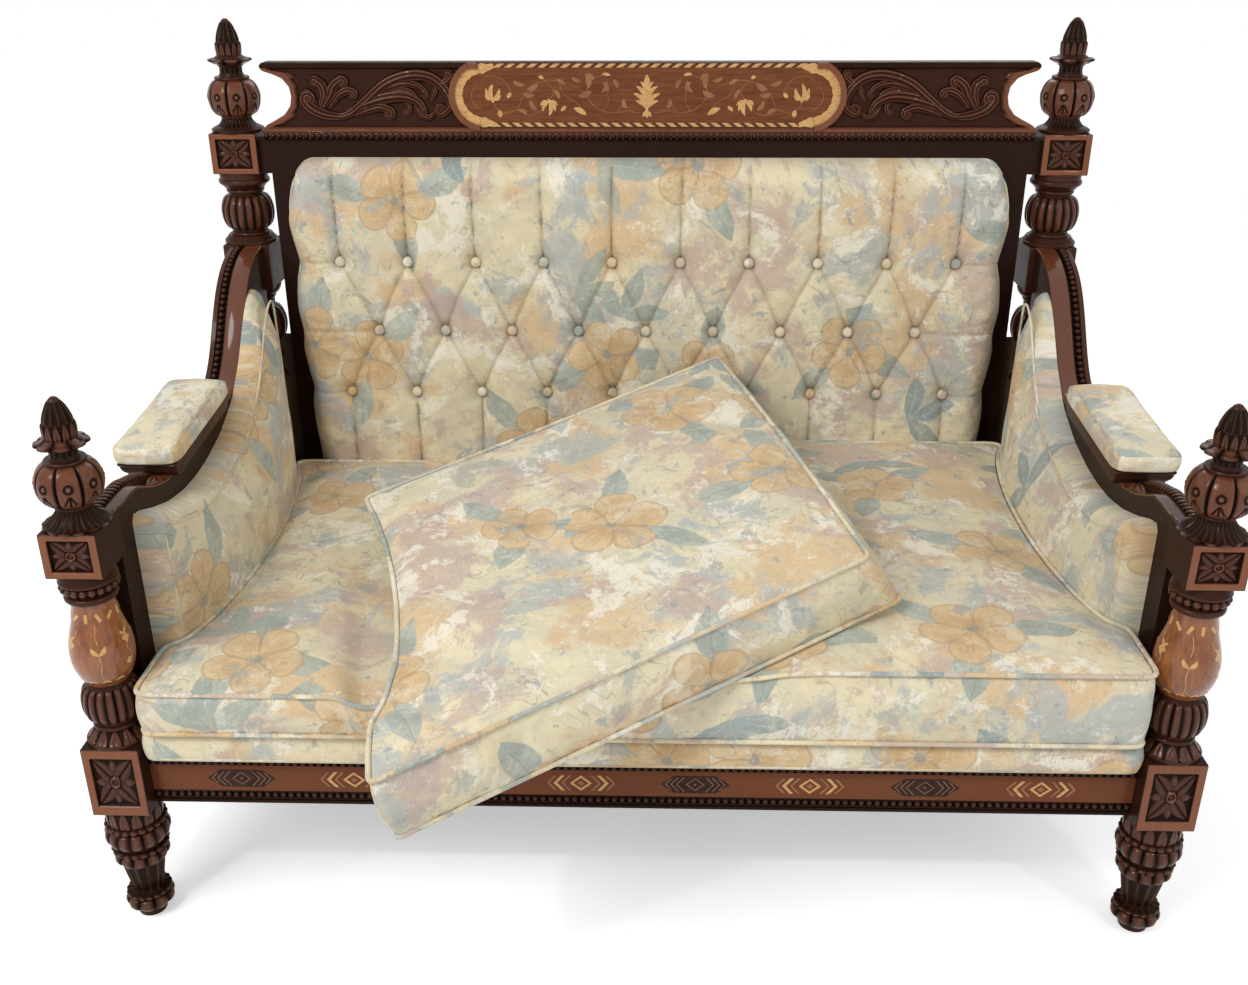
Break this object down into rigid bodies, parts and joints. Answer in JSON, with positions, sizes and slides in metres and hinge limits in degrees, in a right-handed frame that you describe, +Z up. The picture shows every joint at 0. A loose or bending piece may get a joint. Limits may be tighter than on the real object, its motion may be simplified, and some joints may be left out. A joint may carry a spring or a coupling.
{
  "type": "carved wood sofa",
  "caption": "Settee with turned corner posts, S-curved arms, an inlaid and carved crest, a button-tufted back, a bench seat cushion and a loose cushion laid across it.",
  "frame": {"origin": "on the floor, under the centre of the overall bounding box with the loose cushion in place", "axes": "+X along the sofa to the right as seen from its front, +Y from the front to the back, +Z up"},
  "size_m": [1.538, 1.1734, 1.181],
  "materials": {
    "dark_wood": "french-polished dark mahogany, carved and turned",
    "red_wood": "polished reddish-brown mahogany",
    "inlay_wood": "polished amber marquetry on brown veneer",
    "floral_fabric": "woven cotton printed with a soft watercolour floral, cream ground, matt",
    "linen": "plain dark lining cloth and woven webbing",
    "steel": "plain wood screws"
  },
  "bodies": {
    "frame": {"front_post_left": "dark_wood", "front_post_right": "dark_wood", "back_post_left": "dark_wood", "back_post_right": "dark_wood", "front_finial_left": "dark_wood", "front_finial_right": "dark_wood", "back_finial_left": "dark_wood", "back_finial_right": "dark_wood", "front_rail": "red_wood", "back_rail": "dark_wood", "side_rail_left": "dark_wood", "side_rail_right": "dark_wood", "front_rail_strip": "red_wood", "front_rail_inlays": "inlay_wood", "front_bead_upper": "dark_wood", "front_bead_lower": "dark_wood", "corner_blocks": "red_wood", "corner_screws": "steel", "dust_cover": "linen", "seat_webbing": "linen", "arm_left": "dark_wood", "arm_right": "dark_wood", "arm_beads_left": "dark_wood", "arm_beads_right": "dark_wood", "arm_pad_base_left": "dark_wood", "arm_pad_base_right": "dark_wood", "arm_pad_left": "floral_fabric", "arm_pad_right": "floral_fabric", "side_stiles_left": "dark_wood", "side_stiles_right": "dark_wood", "side_board_left": "dark_wood", "side_board_right": "dark_wood", "arm_lining_left": "floral_fabric", "arm_lining_right": "floral_fabric", "back_stile_left": "dark_wood", "back_stile_right": "dark_wood", "back_top_rail": "dark_wood", "back_low_rail": "dark_wood", "back_board": "dark_wood", "crest_rail": "red_wood", "crest_dowels": "red_wood", "crest_panel": "inlay_wood", "crest_carving_left": "dark_wood", "crest_carving_right": "dark_wood", "crest_bead": "dark_wood", "tufted_back": "floral_fabric", "back_buttons": "floral_fabric", "deck": "floral_fabric"},
    "seat_cushion": {"seat_cushion": "floral_fabric"},
    "loose_cushion": {"loose_cushion": "floral_fabric"}
  },
  "joints": [
    {"name": "seat_lift", "type": "slide", "parent": "frame", "child": "seat_cushion", "axis": [0, 0, 1], "range_m": [0, 0.3]},
    {"name": "loose_lift", "type": "slide", "parent": "seat_cushion", "child": "loose_cushion", "axis": [0, 0, 1], "range_m": [0, 0.3]}
  ]
}
